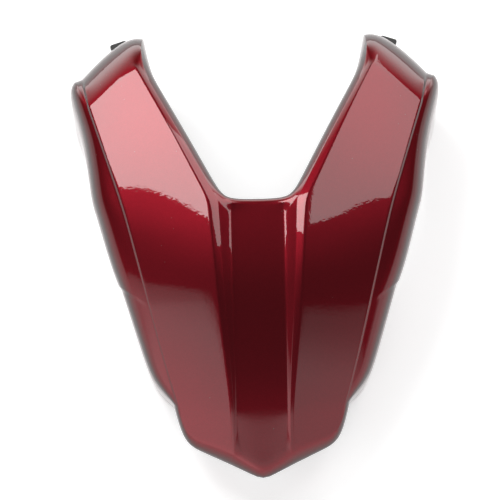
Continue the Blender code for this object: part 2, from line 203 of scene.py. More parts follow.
def loft_top(bm):
    """Lofts the top from the tail forwards and out along the horn. Returns the rows of vertices."""
    points = section_points(*TAIL_SECTION, True)
    points[-1].y -= TAIL_POINT
    row = [bm.verts.new(point * MM) for point in points]
    for a, b in zip(row, row[1:]):
        bm.edges.new((a, b))
    rows = [row]
    for _, crease_y, ridge_y, _ in BODY_SECTIONS:
        row = extrude_row(bm, row)
        place_row(row, section_points(crease_y, ridge_y, True))
        rows.append(row)
    row = row[:HORN_POINTS]
    for _, crease_y, ridge_y, _ in HORN_SECTIONS:
        row = extrude_row(bm, row)
        place_row(row, section_points(crease_y, ridge_y, False))
        rows.append(row)
    return rows


cage = bmesh.new()
cage.edges.layers.float.new("crease_edge")
cage.edges.layers.float.new("bevel_weight_edge")
cage.verts.layers.float.new("mist")
top_rows = loft_top(cage)
print("top:", len(top_rows), "sections,", len(cage.faces), "faces on one side")

# %% [markdown]
# Below the top the shell turns down all the way round, and each stretch does it in its own way. The tail and
# the notch have a small rolled edge, the nose of each horn falls in a fuller roll, and the sides drop over a
# small step and then swell into a pod, with a narrower skirt behind it. Each point of the top's edge gets a
# column of five points below it. Extruding the whole edge line by line joins the columns into one skirt.

# %% The rim and the rolled edges
POD_RIM_PLAN = (
    (-26, 105.5), (-15, 109.8), (0, 114.9), (38, 126.6), (80, 134.4), (108, 143.4), (128, 149.8),
    (134.5, 144.4), (137, 140.0),
)
SKIRT_RIM_PLAN = ((-124, 69.1), (-113, 79.7), (-94, 85.7), (-62, 94.7), (-28, 103.6))
RIM_HEIGHT = (
    (-124, 3.0), (-94, 0.0), (-62, 1.0), (-24, 6.0), (38, 8.0), (105, 2.0), (130, 0.0), (141, 5.0),
)
TAIL_SIDE_RIM = (64.0, -133.0, 13.0)
STEP_RUN = 1.1
STEP_DROP = 1.8
SIDE_PROFILE = ((0.63, 0.06), (0.94, 0.21), (1.0, 0.52), (1.0, 1.0))
SWEEP_SHARE = 0.3
SWEEP_LENGTH = 110.0
SWEEP_LEAST = 0.35
ROLL_FIRST_SHARE = 0.3
NOTCH_FRONT_ROLL = ((3.8, 0.9), (6.8, 3.6), (8.0, 8.5), (8.1, 20.5))
NOTCH_HORN_ROLL = ((3.2, 2.6), (6.0, 6.2), (7.6, 12.0), (7.8, 25.0))
NOTCH_CORNER_SHIFT = (-0.6, 1.15)
NOSE_FACE = (
    (87.7, 173.6, 47.0), (98.0, 174.2, 45.0), (110.0, 170.0, 38.0), (125.5, 156.6, 22.0), (138.6, 141.8, 5.0),
)
NOSE_ROLL_DEPTH = 44.0
NOSE_LEAST_LIP = 2.0
TAIL_TIP = (0.0, -196.4, 26.0)
TAIL_CORNER = (57.6, -167.3, 26.3)
TAIL_RIM_SHARE = 0.93
TAIL_LIP_RUN = 9.0
TAIL_RIM_HEIGHT = 15.0
FACE_ROLL = ((0.38, 0.08), (0.72, 0.30), (0.93, 0.64))


def plan_normal(before, here, after):
    """Direction in plan away from the shell at a point of its edge, between its two neighbours."""
    normal = Vector((0.0, 0.0, 0.0))
    for a, b in ((before, here), (here, after)):
        normal += Vector((b.y - a.y, a.x - b.x, 0.0)).normalized()
    return normal.normalized()


def side_column(crease, rim):
    """Lines of the side below a point of the crease: the foot of the small step, the rounding and the rim."""
    outward = Vector((rim.x - crease.x, 0.0, 0.0)).normalized()
    foot = crease + outward * STEP_RUN - Vector((0, 0, STEP_DROP))
    column = [foot]
    early = min(max(SWEEP_SHARE + crease.y / SWEEP_LENGTH, SWEEP_LEAST), 1.0)
    for run, drop in SIDE_PROFILE:
        point = foot.lerp(rim, run)
        point.y = foot.y + (rim.y - foot.y) * (early * run + (1 - early) * drop)
        point.z = foot.z + (rim.z - foot.z) * drop
        column.append(point)
    return column


def rolled_column(edge, outward, roll):
    """Lines of a rolled edge: each is a run outwards and a drop from the edge."""
    column = [edge + outward * run - Vector((0, 0, drop)) for run, drop in roll]
    return [edge.lerp(column[0], ROLL_FIRST_SHARE)] + column


def face_roll(edge, stand):
    """Lines of the roll from a point of the top's edge to the top of an upright face."""
    column = []
    for run, drop in FACE_ROLL:
        point = edge.lerp(stand, run)
        point.z = edge.z + (stand.z - edge.z) * drop
        column.append(point)
    return column + [stand]


def nose_column(edge, face):
    """Lines of the nose below one point of the panel's far edge, down to its face and rim."""
    stand = Vector((face[0], face[1], max(edge.z - NOSE_ROLL_DEPTH, face[2] + NOSE_LEAST_LIP)))
    return face_roll(edge, stand) + [Vector(face)]


def tail_column(edge, share):
    """Lines of the tail below one point of its edge, by its share of the way from the mid-line out."""
    stand = Vector(TAIL_TIP).lerp(Vector(TAIL_CORNER), share)
    rim = Vector((stand.x * TAIL_RIM_SHARE, stand.y + TAIL_LIP_RUN, TAIL_RIM_HEIGHT))
    return face_roll(edge, stand) + [rim]


def rim_point(kind, rim_y):
    """Point of the lower rim on the side."""
    if kind == "tail_side":
        return Vector(TAIL_SIDE_RIM)
    plan = SKIRT_RIM_PLAN if kind.startswith("skirt") else POD_RIM_PLAN
    return Vector((smooth(plan, rim_y), rim_y, smooth(RIM_HEIGHT, rim_y)))


def tail_columns(tail):
    """The columns along the tail's edge, from the mid-line out to the crease."""
    corner_x = tail[0].co.x
    return [(vertex, tail_column(vertex.co / MM, vertex.co.x / corner_x)) for vertex in reversed(tail)]


def notch_columns(horn, nose_end, floor):
    """The columns along the horn's inner edge, round the notch's corner and along the front of the floor."""
    chain = []
    for i, vertex in enumerate(horn[:-1]):
        before = (horn[i - 1].co if i else nose_end.co) / MM
        outward = plan_normal(before, vertex.co / MM, horn[i + 1].co / MM)
        chain.append((vertex, rolled_column(vertex.co / MM, outward, NOTCH_HORN_ROLL)))
    shift = Vector((NOTCH_CORNER_SHIFT[0], NOTCH_CORNER_SHIFT[1], 0))
    chain.append((horn[-1], rolled_column(horn[-1].co / MM, shift, NOTCH_FRONT_ROLL)))
    for vertex in floor:
        chain.append((vertex, rolled_column(vertex.co / MM, Vector((0, 1, 0)), NOTCH_FRONT_ROLL)))
    return chain


def edge_columns(rows):
    """The chain of edge vertices round the top, with the column of points below each of them."""
    body = len(BODY_SECTIONS)
    chain = tail_columns(rows[0])
    for row, (kind, _, _, rim_y) in zip(rows[1:], BODY_SECTIONS + HORN_SECTIONS[:-1]):
        crease = row[CREASE]
        chain.append((crease, side_column(crease.co / MM, rim_point(kind, rim_y))))
    for vertex, face in zip(rows[-1], reversed(NOSE_FACE)):
        chain.append((vertex, nose_column(vertex.co / MM, face)))
    horn = [row[WALL_TOP] for row in reversed(rows[body:-1])]
    return chain + notch_columns(horn, rows[-1][-1], rows[body][HORN_POINTS:])


def extrude_skirt(bm, chain):
    """Extrudes the edge of the top downwards line by line. Returns the lines of vertices."""
    row = [vertex for vertex, _ in chain]
    lines = [row]
    for level in range(len(chain[0][1])):
        row = extrude_row(bm, row)
        place_row(row, [column[level] for _, column in chain])
        lines.append(row)
    return lines


skirt_lines = extrude_skirt(cage, edge_columns(top_rows))
print("skirt:", len(skirt_lines[0]), "columns,", len(cage.faces), "faces on one side in all")

# %% [markdown]
# A crisp line on a moulding is never a knife edge: it has a radius of a millimetre or so, and that radius
# is what catches the light. So the feature lines get two marks. The crease mark keeps them firm in the first
# smoothing, and the bevel weight lets the Bevel modifier cut a narrow strip along them, which the second
# smoothing turns into a radius. A third number, the mist, grows towards the rim and serves the paint later.

# %% Mark the feature lines
FIRM = 0.9
SOFTER = 0.8
SOFT = 0.6
RIM_RADIUS_SHARE = 0.45


def mark(bm, vertices, crease, weight):
    """Gives the edges along a line of vertices a crease for the smoothing and a weight for the rounding."""
    crease_layer = bm.edges.layers.float["crease_edge"]
    weight_layer = bm.edges.layers.float["bevel_weight_edge"]
    for a, b in zip(vertices, vertices[1:]):
        edge = bm.edges.get((a, b))
        edge[crease_layer] = crease
        edge[weight_layer] = weight


def mark_long_lines(bm, rows):
    """The crease, the ridge, the wall top and the floor's edge."""
    mark(bm, [row[CREASE] for row in rows], 1.0, 1.0)
    mark(bm, [row[RIDGE] for row in rows], FIRM, 1.0)
    mark(bm, [row[WALL_TOP] for row in rows], FIRM, 1.0)
    mark(bm, [row[FLOOR_EDGE] for row in rows[:len(BODY_SECTIONS) + 1]], SOFTER, 1.0)


def mark_side_lines(bm, rows, lines):
    """The step's foot, the tail's point, the nose's corners, the notch's wall, the pod's and skirt's ends."""
    first = len(rows[0])
    outer = first + len(rows) - 2
    inner = outer + WALL_TOP
    mark(bm, lines[1][first - 1:outer + 1], FIRM, 1.0)
    mark(bm, [line[0] for line in lines], 1.0, 0.0)
    mark(bm, [line[outer] for line in lines], FIRM, 1.0)
    mark(bm, [line[outer - 1] for line in lines], FIRM, 1.0)
    mark(bm, [line[inner] for line in lines], SOFT, SOFT)
    mark(bm, lines[1][inner:], FIRM, SOFT)
    for offset, (kind, _, _, _) in enumerate(BODY_SECTIONS):
        if kind.endswith("_end"):
            mark(bm, [line[first + offset] for line in lines], FIRM, 1.0)
            mark(bm, [line[first + offset - 1] for line in lines], SOFTER, 1.0)


def mark_rim(bm, lines):
    """The cut edge of the moulding, with a smaller radius."""
    mark(bm, lines[-1], 0.0, RIM_RADIUS_SHARE)


def mark_mist(bm, lines):
    """How much paint mist reaches the inside: none under the top, more with each line towards the rim."""
    layer = bm.verts.layers.float["mist"]
    for level, line in enumerate(lines):
        for vertex in line:
            vertex[layer] = level / (len(lines) - 1)


mark_long_lines(cage, top_rows)
mark_side_lines(cage, top_rows, skirt_lines)
mark_rim(cage, skirt_lines)
mark_mist(cage, skirt_lines)
print("feature lines marked on", len(cage.edges), "edges")

# %% [markdown]
# The rest of the shell is a stack of modifiers on that one-sided cage, as one would build it by hand: Mirror
# makes the other side, a first Subdivision Surface rounds the sheet and keeps the creased lines, Solidify
# gives it the wall of an injection moulding, Bevel cuts the narrow strips, and a second Subdivision Surface
# without creases turns them into radii. Solidify gives the inner faces the next material slot, which is how
# the raw inside is told from the painted outside.

# %% Give the sheet its other half, its wall and its radii
WALL = 3.0
EDGE_RADIUS = 1.0
FIRST_SMOOTHING = 1
FINE_SMOOTHING = 1
MERGE = 0.0001


def upright_faces(bm):
    """Turns all faces outwards, judged by the topmost one."""
    bmesh.ops.recalc_face_normals(bm, faces=bm.faces)
    top = max(bm.faces, key=lambda face: face.calc_center_median().z)
    if top.normal.z < 0:
        bmesh.ops.reverse_faces(bm, faces=bm.faces)


def make_object(name, bm):
    """Turns a bmesh into an object of the scene."""
    mesh = bpy.data.meshes.new(name)
    bm.to_mesh(mesh)
    bm.free()
    mesh.shade_smooth()
    obj = bpy.data.objects.new(name, mesh)
    bpy.context.scene.collection.objects.link(obj)
    return obj


def add_smoothing(obj, name, levels, creases):
    """One Subdivision Surface modifier."""
    smoothing = obj.modifiers.new(name, "SUBSURF")
    smoothing.levels = levels
    smoothing.render_levels = levels
    smoothing.use_creases = creases


def add_shell_modifiers(obj):
    """Mirror, first smoothing, wall, narrow strips and second smoothing."""
    mirror = obj.modifiers.new("other half", "MIRROR")
    mirror.merge_threshold = MERGE
    mirror.use_clip = True
    add_smoothing(obj, "first smoothing", FIRST_SMOOTHING, True)
    wall = obj.modifiers.new("wall", "SOLIDIFY")
    wall.thickness = WALL * MM
    wall.offset = -1.0
    wall.use_even_offset = True
    wall.material_offset = 1
    strips = obj.modifiers.new("strips", "BEVEL")
    strips.limit_method = "WEIGHT"
    strips.width = EDGE_RADIUS * MM
    strips.segments = 1
    strips.use_clamp_overlap = True
    add_smoothing(obj, "fine smoothing", FINE_SMOOTHING, False)


def finished_mesh(obj, name):
    """The object's mesh with its modifiers applied."""
    depsgraph = bpy.context.evaluated_depsgraph_get()
    mesh = bpy.data.meshes.new_from_object(
        obj.evaluated_get(depsgraph), preserve_all_data_layers=True, depsgraph=depsgraph,
    )
    mesh.name = name
    return mesh


upright_faces(cage)
sheet = make_object("sheet", cage)
raw_plastic = bpy.data.materials.new("raw black plastic")
candy_paint = bpy.data.materials.new("candy red paint")
sheet.data.materials.append(candy_paint)
sheet.data.materials.append(raw_plastic)
add_shell_modifiers(sheet)
shell_mesh = finished_mesh(sheet, "painted_shell")
print("shell:", len(shell_mesh.polygons), "faces")

# %% [markdown]
# Nothing holds such a cowl from outside, so its fixings are moulded on inside: four round bosses that take
# self-tapping screws from below, each stiffened by four gussets, and a flat tab in front of each nose that
# locates it under the next panel. They are solids of their own first, sunk to the middle of the wall, and a
# Boolean joins them to the shell, as the tool that moulds them would. A second Boolean bores the bosses.

# %% Bosses and tabs
TAB_PLACE = 108.0
TAB_RISE = 6.9
TAB_SINK = 6.0
TAB_WIDTH = 14.0
TAB_LENGTH = 13.0
TAB_THICKNESS = 3.0
TAB_TURN = -22.0
TAB_CORNER_RADIUS = 2.0
TAB_CORNER_SEGMENTS = 5
BOSSES = ((100.0, 62.0, 32.0), (42.0, -112.0, 26.0))
BOSS_RADIUS = 6.0
BOSS_SIDES = 24
BOSS_BORE_RADIUS = 2.4
BOSS_BORE_DEPTH = 16.0
GUSSET_HEIGHT = 16.0
GUSSET_REACH = 8.0
GUSSET_TIP = 4.0
SQUARE_ON = 0.999
RAY_START = 1.0


def middle_of_wall(skin, x, y):
    """Height of the middle of the shell's wall above a point."""
    place, normal, _, _ = skin.ray_cast(Vector((x, y, RAY_START)), Vector((0, 0, -1)))
    return place.z - 0.5 * WALL * MM / normal.z


def boss_piece(skin, x, y, length):
    """One screw boss with four tapered gussets, flat at its lower end and sunk into the shell's wall."""
    bm = bmesh.new()
    top = middle_of_wall(skin, x, y)
    place = Matrix.Translation((x, y, top - 0.5 * length)) @ Matrix.Rotation(math.pi / BOSS_SIDES, 4, "Z")
    radius = BOSS_RADIUS * MM
    bmesh.ops.create_cone(
        bm, cap_ends=True, segments=BOSS_SIDES, radius1=radius, radius2=radius, depth=length, matrix=place,
    )
    foot = top - GUSSET_HEIGHT * MM
    middle = 0.5 * (top + foot)
    geometry = bm.verts[:] + bm.edges[:] + bm.faces[:]
    bmesh.ops.bisect_plane(bm, geom=geometry, plane_co=(x, y, foot), plane_no=(0, 0, 1))
    bm.normal_update()
    sides = [face for face in bm.faces
             if face.calc_center_median().z > foot
             and max(abs(face.normal.x), abs(face.normal.y)) > SQUARE_ON]
    for face in bmesh.ops.extrude_discrete_faces(bm, faces=sides)["faces"]:
        bmesh.ops.translate(bm, verts=face.verts, vec=face.normal * GUSSET_REACH * MM)
        for vertex in face.verts:
            if vertex.co.z < middle:
                vertex.co.z = top - GUSSET_TIP * MM
    for vertex in bm.verts:
        if vertex.co.z > middle:
            vertex.co.z += middle_of_wall(skin, vertex.co.x, vertex.co.y) - top
    return bm


def tab_piece(side):
    """One locating tab, a flat tongue with rounded corners whose back end is sunk into the nose's wall."""
    bm = bmesh.new()
    face_y = smooth([(x, y) for x, y, _ in NOSE_FACE], TAB_PLACE)
    rim_z = smooth([(x, z) for x, _, z in NOSE_FACE], TAB_PLACE)
    reach = 0.5 * TAB_LENGTH - TAB_SINK
    centre = Vector((TAB_PLACE * side, face_y + reach, rim_z + TAB_RISE)) * MM
    place = Matrix.Translation(centre) @ Matrix.Rotation(math.radians(TAB_TURN * side), 4, "Z")
    size = Matrix.Diagonal((TAB_WIDTH * MM, TAB_LENGTH * MM, TAB_THICKNESS * MM, 1.0))
    bmesh.ops.create_cube(bm, size=1.0, matrix=place @ size)
    forward = place.to_3x3() @ Vector((0, 1, 0))
    upright = [edge for edge in bm.edges
               if abs((edge.verts[0].co - edge.verts[1].co).z) > 0.5 * TAB_THICKNESS * MM]
    corners = [edge for edge in upright if (edge.verts[0].co - centre).dot(forward) > 0]
    bmesh.ops.bevel(
        bm, geom=corners, offset=TAB_CORNER_RADIUS * MM, segments=TAB_CORNER_SEGMENTS, profile=0.5,
        affect="EDGES", material=-1,
    )
    return bm


def bore_piece(skin, x, y, length):
    """The cutter for one blind screw bore, which opens in the boss's lower end."""
    bm = bmesh.new()
    place = Matrix.Translation((x, y, middle_of_wall(skin, x, y) - length))
    radius = BOSS_BORE_RADIUS * MM
    bmesh.ops.create_cone(
        bm, cap_ends=True, segments=BOSS_SIDES, radius1=radius, radius2=radius,
        depth=2 * BOSS_BORE_DEPTH * MM, matrix=place,
    )
    return bm


def merged(pieces):
    """Several bmesh pieces as one."""
    whole = bmesh.new()
    for piece in pieces:
        mesh = bpy.data.meshes.new("piece")
        piece.to_mesh(mesh)
        piece.free()
        whole.from_mesh(mesh)
        bpy.data.meshes.remove(mesh)
    return whole


def boolean_step(obj, operation, pieces):
    """Joins raw plastic pieces to the object or cuts them out, and keeps the result as the object's mesh."""
    tool = make_object("tool", merged(pieces))
    tool.data.materials.append(candy_paint)
    tool.data.materials.append(raw_plastic)
    for face in tool.data.polygons:
        face.material_index = 1
    boolean = obj.modifiers.new("boolean", "BOOLEAN")
    boolean.operation = operation
    boolean.solver = "EXACT"
    boolean.object = tool
    mesh = finished_mesh(obj, "painted_shell")
    obj.modifiers.clear()
    obj.data = mesh
    bpy.data.objects.remove(tool)


sheet.modifiers.clear()
sheet.data = shell_mesh
skin = BVHTree.FromPolygons(
    [vertex.co for vertex in shell_mesh.vertices],
    [tuple(face.vertices) for face in shell_mesh.polygons],
)
boss_places = [(side * x * MM, y * MM, length * MM) for x, y, length in BOSSES for side in (-1, 1)]
fixings = [boss_piece(skin, *place) for place in boss_places] + [tab_piece(side) for side in (-1, 1)]
boolean_step(sheet, "UNION", fixings)
boolean_step(sheet, "DIFFERENCE", [bore_piece(skin, *place) for place in boss_places])
print("with fixings:", len(sheet.data.polygons), "faces")

# %% [markdown]
# The drawing's zero was the front edge of the channel's floor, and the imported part's is the middle of its
# base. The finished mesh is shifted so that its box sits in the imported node's box, and from then on the
# object stays at the origin, because the paint below reads Object coordinates.

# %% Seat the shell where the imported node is
SHARP_ANGLE = 40.0


def box_of(mesh):
    """Lowest and highest corner of a mesh."""
    corners = [[pick(v.co[axis] for v in mesh.vertices) for axis in range(3)] for pick in (min, max)]
    return Vector(corners[0]), Vector(corners[1])


cad_low, cad_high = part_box(NODE)
low, high = box_of(sheet.data)
shift = 0.5 * (cad_low + cad_high - low - high)
shift.x = 0.0
shift.z = cad_low.z - low.z
cowl = sheet
cowl.name = "painted_shell"
cowl.data.transform(Matrix.Translation(shift))
cowl.data.shade_smooth()
cowl.data.set_sharp_from_angle(angle=math.radians(SHARP_ANGLE))
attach(cowl, "root")
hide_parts(NODE)
print("shift in mm:", [round(value / MM, 3) for value in shift])

# %% [markdown]
# Paint and plastic are built from nodes, and the same few steps come back in each: a node with its values
# set, a texture laid over the object, a sum, a smooth fade from one value to another, a mix of two colours,
# and a fine relief. Small helpers for these keep the recipes below short.

# %% Helpers for nodes
def set_inputs(made, inputs):
    """Sets the inputs of a node by name, where an underscore stands for a space."""
    for name, value in inputs.items():
        made.inputs[name.replace("_", " ")].default_value = value


def node(tree, kind, place, **inputs):
    """Adds a node and sets its inputs."""
    made = tree.nodes.new(kind)
    made.location = place
    set_inputs(made, inputs)
    return made


def texture(tree, kind, place, where, **inputs):
    """A texture node that reads the place on the object."""
    made = node(tree, kind, place, **inputs)
    tree.links.new(where, made.inputs["Vector"])
    return made


def math_node(tree, operation, place, first, second):
    """A Math node. Each side is a number or the output of another node."""
    made = node(tree, "ShaderNodeMath", place)
    made.operation = operation
    for socket, value in zip(made.inputs, (first, second)):
        if isinstance(value, (int, float)):
            socket.default_value = value
        else:
            tree.links.new(value, socket)
    return made.outputs[0]


def fade(tree, place, value, start, end, low, high):
    """A smooth fade from one value to another, as the input goes from start to end."""
    made = node(tree, "ShaderNodeMapRange", place, From_Min=start, From_Max=end, To_Min=low, To_Max=high)
    made.interpolation_type = "SMOOTHSTEP"
    tree.links.new(value, made.inputs["Value"])
    return made.outputs["Result"]


def mix_colour(tree, place, share, first, second):
    """A mix of two colours. Each is a colour or the output of another node."""
    made = node(tree, "ShaderNodeMix", place)
    made.data_type = "RGBA"
    tree.links.new(share, made.inputs[0])
    for socket, value in zip(made.inputs[6:8], (first, second)):
        if isinstance(value, tuple):
            socket.default_value = (*value, 1.0)
        else:
            tree.links.new(value, socket)
    return made.outputs[2]


def relief(tree, place, height, depth):
    """Normal of a surface with a fine relief, from its height and the relief's depth."""
    bump = node(tree, "ShaderNodeBump", place, Distance=depth)
    tree.links.new(height, bump.inputs["Height"])
    return bump.outputs[0]


def place_group(tree, group, place, where, inputs):
    """Puts a node group in a material and feeds it the place on the object. Returns its output."""
    made = node(tree, "ShaderNodeGroup", place)
    made.node_tree = group
    tree.links.new(where, made.inputs["Place"])
    set_inputs(made, inputs)
    return made.outputs[0]


print("helpers for nodes: texture, sum, fade, mix, relief and group")

# %% [markdown]
# Two effects show on the paint and on the raw plastic alike, so each is a node group with its own sockets.
# One is the ripple of a surface that was sprayed or moulded, which is nothing but a height. The other is the
# dust that settles on anything photographed close up: a mask of small specks, thinned out by a second noise.

# %% The two shared effects
DUST_PATCHES_PER_METRE = 30.0


def new_group(name, inputs, output):
    """An empty node group with number sockets. The place on the object comes in as a vector."""
    group = bpy.data.node_groups.new(name, "ShaderNodeTree")
    group.interface.new_socket("Place", in_out="INPUT", socket_type="NodeSocketVector")
    for socket in inputs:
        group.interface.new_socket(socket, in_out="INPUT", socket_type="NodeSocketFloat")
    group.interface.new_socket(output, in_out="OUTPUT", socket_type="NodeSocketFloat")
    return group, group.nodes.new("NodeGroupInput"), group.nodes.new("NodeGroupOutput")


def ripple_group():
    """Height of a fine ripple laid over a coarser one."""
    sockets = ("Coarse Scale", "Fine Scale", "Fine Share")
    group, start, end = new_group("surface_ripple", sockets, "Height")
    heights = []
    for name, place in (("Coarse Scale", (-400, 200)), ("Fine Scale", (-400, -100))):
        noise = texture(group, "ShaderNodeTexNoise", place, start.outputs["Place"], Detail=1.0)
        group.links.new(start.outputs[name], noise.inputs["Scale"])
        heights.append(noise.outputs[0])
    fine = math_node(group, "MULTIPLY", (-200, -100), heights[1], start.outputs["Fine Share"])
    group.links.new(math_node(group, "ADD", (0, 0), heights[0], fine), end.inputs["Height"])
    return group


def dust_group():
    """Mask of small specks, only where a slower noise lets them settle."""
    sockets = ("Specks per Metre", "Speck Size", "Clear Share")
    group, start, end = new_group("settled_dust", sockets, "Mask")
    where = start.outputs["Place"]
    cells = texture(group, "ShaderNodeTexVoronoi", (-600, 200), where)
    group.links.new(start.outputs["Specks per Metre"], cells.inputs["Scale"])
    near = math_node(group, "LESS_THAN", (-400, 200), cells.outputs["Distance"], start.outputs["Speck Size"])
    patches = texture(
        group, "ShaderNodeTexNoise", (-600, -100), where, Scale=DUST_PATCHES_PER_METRE, Detail=2.0,
    )
    settled = math_node(group, "GREATER_THAN", (-400, -100), patches.outputs[0], start.outputs["Clear Share"])
    group.links.new(math_node(group, "MULTIPLY", (-200, 0), near, settled), end.inputs["Mask"])
    return group


surface_ripple = ripple_group()
settled_dust = dust_group()
print("groups:", surface_ripple.name, "and", settled_dust.name)

# %% [markdown]
# The paint is a candy red: metal flakes under a transparent red, and a clear lacquer on top. Looked at
# straight on it is a deep red that the flakes scatter broadly, so the base is a rough metal. At a glance the
# look goes through more of the red, which turns nearly black, and the metal's own edge colour is kept dark
# for the same reason. The lacquer gives the hard reflections. The slight orange peel in it breaks their
# edges, so a ripple bends the lacquer's own normal as well.

# %% The candy paint
CANDY_FACING = (0.175, 0.0058, 0.012)
CANDY_GLANCING = (0.03, 0.002, 0.004)
CANDY_FADE = (0.18, 0.72)
CANDY_EDGE = (0.40, 0.12, 0.15, 1.0)
FLAKE_ROUGHNESS = 0.42
FLAKES_PER_METRE = 1900.0
FLAKE_CONTRAST = (0.92, 1.06)
LACQUER_ROUGHNESS = 0.02
LACQUER_IOR = 1.5
PEEL_DEPTH = 0.016 * MM
PEEL_PER_METRE = 420.0
PEEL = {"Coarse Scale": PEEL_PER_METRE, "Fine Scale": 900.0, "Fine Share": 0.2}
DUST_COLOUR = (0.20, 0.15, 0.14)
DUST_ROUGHNESS = 0.8
PAINT_DUST = {"Specks per Metre": 160.0, "Speck Size": 0.05, "Clear Share": 0.58}


def flake_shade(tree, where):
    """Brightness of single flakes, a little different from cell to cell."""
    flakes = texture(tree, "ShaderNodeTexVoronoi", (-1000, 500), where, Scale=FLAKES_PER_METRE)
    tone = node(tree, "ShaderNodeSeparateColor", (-800, 500))
    tree.links.new(flakes.outputs["Color"], tone.inputs[0])
    return fade(tree, (-600, 500), tone.outputs[0], 0.0, 1.0, *FLAKE_CONTRAST)


def candy_colour(tree, where):
    """Deep red, darker at a glance, with the flakes' own variation."""
    slant = node(tree, "ShaderNodeLayerWeight", (-1000, 200), Blend=0.5).outputs["Facing"]
    share = fade(tree, (-800, 200), slant, *CANDY_FADE, 0.0, 1.0)
    red = mix_colour(tree, (-600, 200), share, CANDY_FACING, CANDY_GLANCING)
    scaled = node(tree, "ShaderNodeVectorMath", (-400, 300))
    scaled.operation = "SCALE"
    tree.links.new(red, scaled.inputs[0])
    tree.links.new(flake_shade(tree, where), scaled.inputs["Scale"])
    return scaled.outputs[0]


def paint_material(material):
    """Candy red under clear lacquer, with orange peel and a few specks of dust."""
    material.use_nodes = True
    tree = material.node_tree
    shader = tree.nodes["Principled BSDF"]
    shader.inputs["Metallic"].default_value = 1.0
    shader.inputs["Specular Tint"].default_value = CANDY_EDGE
    shader.inputs["Coat Weight"].default_value = 1.0
    shader.inputs["Coat Roughness"].default_value = LACQUER_ROUGHNESS
    shader.inputs["Coat IOR"].default_value = LACQUER_IOR
    where = node(tree, "ShaderNodeTexCoord", (-1300, 0)).outputs["Object"]
    dust = place_group(tree, settled_dust, (-700, -100), where, PAINT_DUST)
    colour = mix_colour(tree, (-200, 200), dust, candy_colour(tree, where), DUST_COLOUR)
    tree.links.new(colour, shader.inputs["Base Color"])
    roughness = fade(tree, (-200, 0), dust, 0.0, 1.0, FLAKE_ROUGHNESS, DUST_ROUGHNESS)
    tree.links.new(roughness, shader.inputs["Roughness"])
    peel = place_group(tree, surface_ripple, (-700, -400), where, PEEL)
    tree.links.new(relief(tree, (-300, -400), peel, PEEL_DEPTH), shader.inputs["Normal"])
    lacquer = texture(tree, "ShaderNodeTexNoise", (-700, -700), where, Scale=PEEL_PER_METRE, Detail=1.0)
    tree.links.new(relief(tree, (-300, -700), lacquer.outputs[0], PEEL_DEPTH), shader.inputs["Coat Normal"])


paint_material(candy_paint)
print("paint nodes:", len(candy_paint.node_tree.nodes))

# %% [markdown]
# Inside, the plastic is as it left the mould: black with a slight mottle, a fine grain from the tool's
# surface, and a satin sheen. The painter only sprays the outside, and some mist curls round the rim and dries
# dull and red on the first centimetres of the inside. The cage's mist value says how near the rim a place is,
# and a noise frays the edge of the mist.

# %% The raw plastic
PLASTIC_DARK = (0.022, 0.021, 0.021)
PLASTIC_PALE = (0.044, 0.042, 0.041)
MIST_COLOUR = (0.085, 0.008, 0.013)
PLASTIC_ROUGHNESS = (0.42, 0.58)
MOTTLE_PER_METRE = 40.0
MOTTLE_RANGE = (0.3, 0.7)
FRAYS_PER_METRE = 90.0
FRAY_SHARE = 0.5
MIST_RANGE = (0.75, 1.35)
MIST_MOST = 0.8
GRAIN_DEPTH = 0.02 * MM
GRAIN = {"Coarse Scale": 500.0, "Fine Scale": 1500.0, "Fine Share": 0.8}
PLASTIC_DUST = {"Specks per Metre": 260.0, "Speck Size": 0.07, "Clear Share": 0.55}


def mist_share(tree, where):
    """How much paint mist lies on a place of the inside."""
    nearness = node(tree, "ShaderNodeAttribute", (-1000, 400))
    nearness.attribute_name = "mist"
    frays = texture(tree, "ShaderNodeTexNoise", (-1000, 200), where, Scale=FRAYS_PER_METRE, Detail=3.0)
    frayed = math_node(tree, "MULTIPLY", (-800, 200), frays.outputs[0], FRAY_SHARE)
    amount = math_node(tree, "ADD", (-600, 300), nearness.outputs["Fac"], frayed)
    return fade(tree, (-400, 300), amount, *MIST_RANGE, 0.0, MIST_MOST)


def raw_material(material):
    """Raw black moulded plastic with grain, mist near the rim and a little dust."""
    material.use_nodes = True
    tree = material.node_tree
    shader = tree.nodes["Principled BSDF"]
    where = node(tree, "ShaderNodeTexCoord", (-1300, 0)).outputs["Object"]
    mottle = texture(tree, "ShaderNodeTexNoise", (-1000, 0), where, Scale=MOTTLE_PER_METRE, Detail=4.0)
    plastic = mix_colour(tree, (-600, 0), mottle.outputs[0], PLASTIC_DARK, PLASTIC_PALE)
    misted = mix_colour(tree, (-300, 100), mist_share(tree, where), plastic, MIST_COLOUR)
    dust = place_group(tree, settled_dust, (-700, -200), where, PLASTIC_DUST)
    colour = mix_colour(tree, (-150, 100), dust, misted, DUST_COLOUR)
    tree.links.new(colour, shader.inputs["Base Color"])
    roughness = fade(tree, (-300, -100), mottle.outputs[0], *MOTTLE_RANGE, *PLASTIC_ROUGHNESS)
    tree.links.new(roughness, shader.inputs["Roughness"])
    grain = place_group(tree, surface_ripple, (-700, -500), where, GRAIN)
    tree.links.new(relief(tree, (-300, -500), grain, GRAIN_DEPTH), shader.inputs["Normal"])


raw_material(raw_plastic)
print("materials:", [slot.name for slot in cowl.data.materials])

# %% [markdown]
# The product stands on a pale sweep, seen from behind the tail and from sixty degrees above. The camera's
# distance and lens come from the picture's perspective, and the slight turn of the part in the picture is
# a roll of the camera.

# %% Camera
TARGET = Vector((0.0, -21.83, 64.5)) * MM
DISTANCE = 1200.0 * MM
ELEVATION = math.radians(60.0)
PIXEL = 0.74 * MM
IMAGE_WIDTH = 500
SENSOR = 36.0
SIDE_STEP = -8.4 * PIXEL
ROLL = math.radians(-1.174)
NEAREST = 0.05

